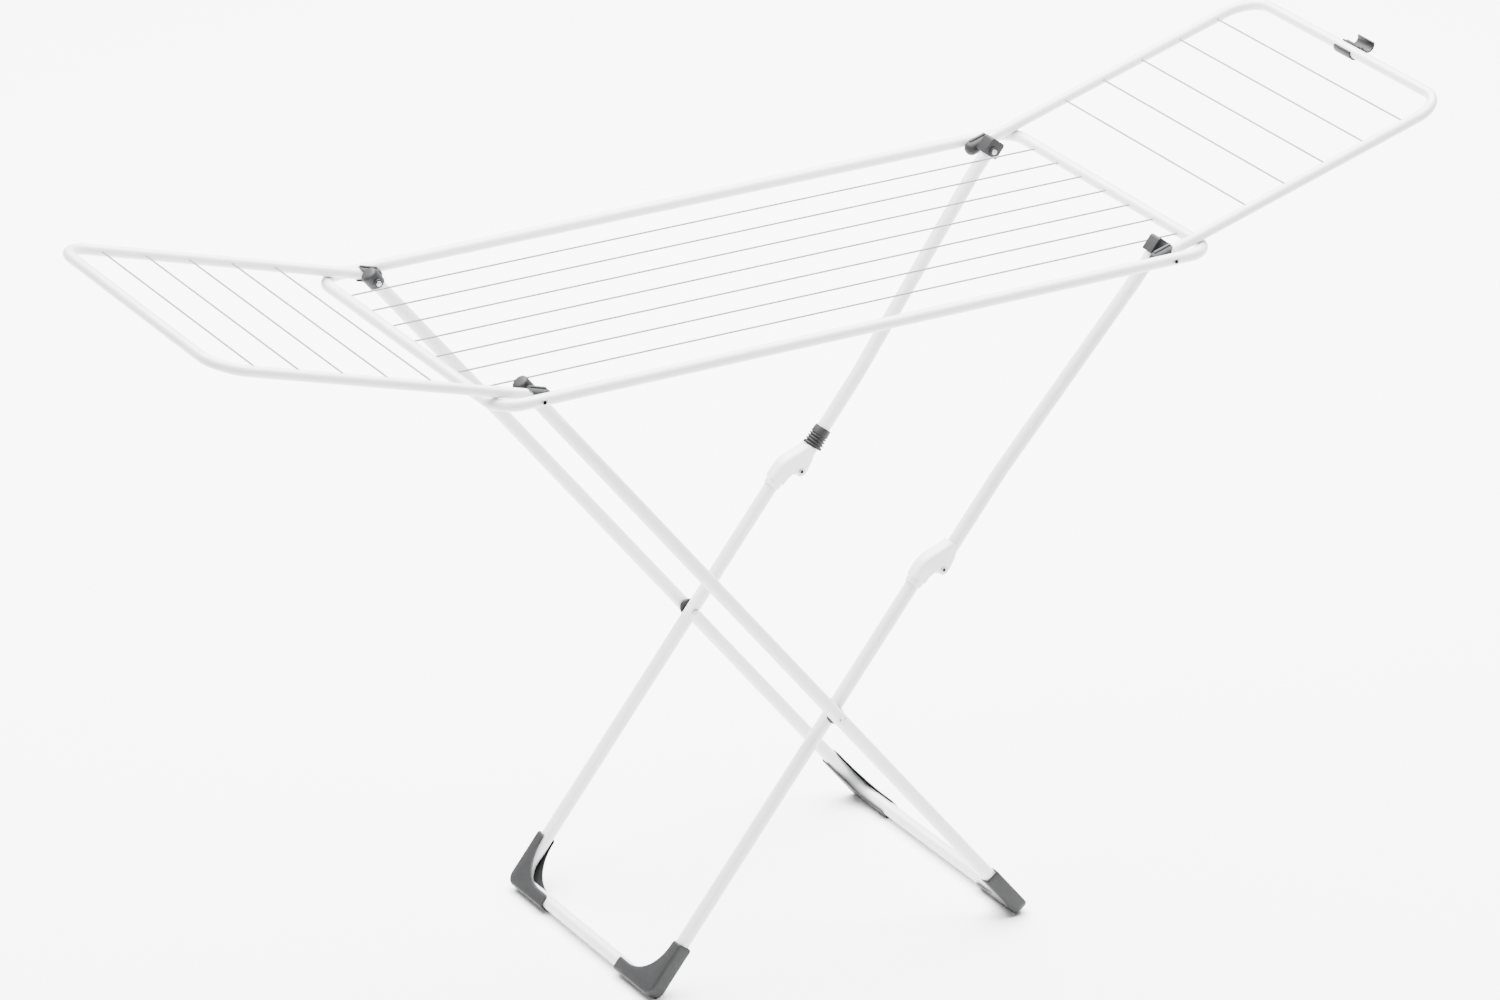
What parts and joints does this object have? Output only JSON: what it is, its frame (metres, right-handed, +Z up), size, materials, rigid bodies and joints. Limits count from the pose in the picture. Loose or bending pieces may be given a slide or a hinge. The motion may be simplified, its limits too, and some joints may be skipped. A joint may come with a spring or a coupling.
{
  "type": "clothes drying rack",
  "caption": "Folding indoor clothes airer with a wired top frame, two hinged side wings, crossed tube legs, a folding knee with a sliding lock ring, and moulded feet.",
  "frame": {"origin": "on the floor under the middle of the open rack, at the centre of its footprint box", "axes": "+X along the rack towards the wing that carries the storage clip, +Y to the back side, +Z up"},
  "size_m": [1.8595, 0.5498, 1.0662],
  "materials": {
    "white_coat": "glossy white powder coat on bent steel tube",
    "wire_coat": "satin light grey coat on steel wire",
    "grey_plastic": "satin mid grey moulded plastic",
    "dark_plastic": "matte dark grey moulded plastic",
    "white_plastic": "satin white moulded plastic",
    "zinc_steel": "bright zinc plated steel"
  },
  "bodies": {
    "top_frame": {"top_frame_tube": "white_coat", "frame_wire_1": "wire_coat", "frame_wire_2": "wire_coat", "frame_wire_3": "wire_coat", "frame_wire_4": "wire_coat", "frame_wire_5": "wire_coat", "frame_wire_6": "wire_coat", "frame_wire_7": "wire_coat", "corner_pin_left_front": "zinc_steel", "corner_pin_left_back": "zinc_steel", "corner_pin_right_front": "zinc_steel", "corner_pin_right_back": "zinc_steel"},
    "left_wing": {"left_wing_tube": "white_coat", "left_wing_wire_1": "wire_coat", "left_wing_wire_2": "wire_coat", "left_wing_wire_3": "wire_coat", "left_wing_wire_4": "wire_coat", "left_wing_wire_5": "wire_coat", "left_wing_cap_front": "grey_plastic", "left_wing_cap_back": "grey_plastic"},
    "right_wing": {"right_wing_tube": "white_coat", "right_wing_wire_1": "wire_coat", "right_wing_wire_2": "wire_coat", "right_wing_wire_3": "wire_coat", "right_wing_wire_4": "wire_coat", "right_wing_wire_5": "wire_coat", "right_wing_cap_front": "grey_plastic", "right_wing_cap_back": "grey_plastic", "storage_clip": "grey_plastic"},
    "outer_leg": {"outer_leg_tube": "white_coat", "outer_leg_cap_front": "grey_plastic", "outer_leg_cap_back": "grey_plastic", "outer_leg_foot_front": "grey_plastic", "outer_leg_foot_back": "grey_plastic", "cross_rivet_front": "zinc_steel", "cross_rivet_back": "zinc_steel", "cross_spacer_front": "dark_plastic", "cross_spacer_back": "dark_plastic"},
    "upper_leg": {"upper_leg_tube_front": "white_coat", "upper_leg_tube_back": "white_coat", "upper_leg_cap_front": "grey_plastic", "upper_leg_cap_back": "grey_plastic", "upper_knuckle_front": "white_plastic", "upper_knuckle_back": "white_plastic", "knee_pin_front": "zinc_steel", "knee_pin_back": "zinc_steel"},
    "inner_leg": {"inner_leg_tube": "white_coat", "inner_leg_foot_front": "grey_plastic", "inner_leg_foot_back": "grey_plastic", "lower_knuckle_front": "white_plastic", "lower_knuckle_back": "white_plastic", "cross_rivet_head_front": "zinc_steel", "cross_rivet_head_back": "zinc_steel"},
    "lock_ring": {"lock_ring": "grey_plastic"}
  },
  "joints": [
    {"name": "left_wing_hinge", "type": "hinge", "parent": "top_frame", "child": "left_wing", "pos_m": [-0.48193, 0, 0.926], "axis": [0, 1, 0], "range_deg": [0, 161.5]},
    {"name": "right_wing_hinge", "type": "hinge", "parent": "top_frame", "child": "right_wing", "pos_m": [0.45807, 0, 0.926], "axis": [0, -1, 0], "range_deg": [0, 161.5]},
    {"name": "leg_fold", "type": "hinge", "parent": "top_frame", "child": "outer_leg", "pos_m": [-0.48193, 0, 0.926], "axis": [0, -1, 0], "range_deg": [0, 46.1]},
    {"name": "upper_leg_hinge", "type": "hinge", "parent": "top_frame", "child": "upper_leg", "pos_m": [0.45807, 0, 0.926], "axis": [0, 1, 0], "range_deg": [0, 48.3]},
    {"name": "knee_hinge", "type": "hinge", "parent": "upper_leg", "child": "inner_leg", "pos_m": [0.13621, 0, 0.52903], "axis": [0, -1, 0], "range_deg": [0, 168.5]},
    {"name": "lock_ring_slide", "type": "slide", "parent": "upper_leg", "child": "lock_ring", "axis": [0.6298, 0, 0.7768], "range_m": [0, 0.07]}
  ],
  "couplings": [
    {"joint": "upper_leg_hinge", "follows": "leg_fold", "ratio": 1.0468},
    {"joint": "knee_hinge", "follows": "leg_fold", "ratio": 3.6538}
  ]
}
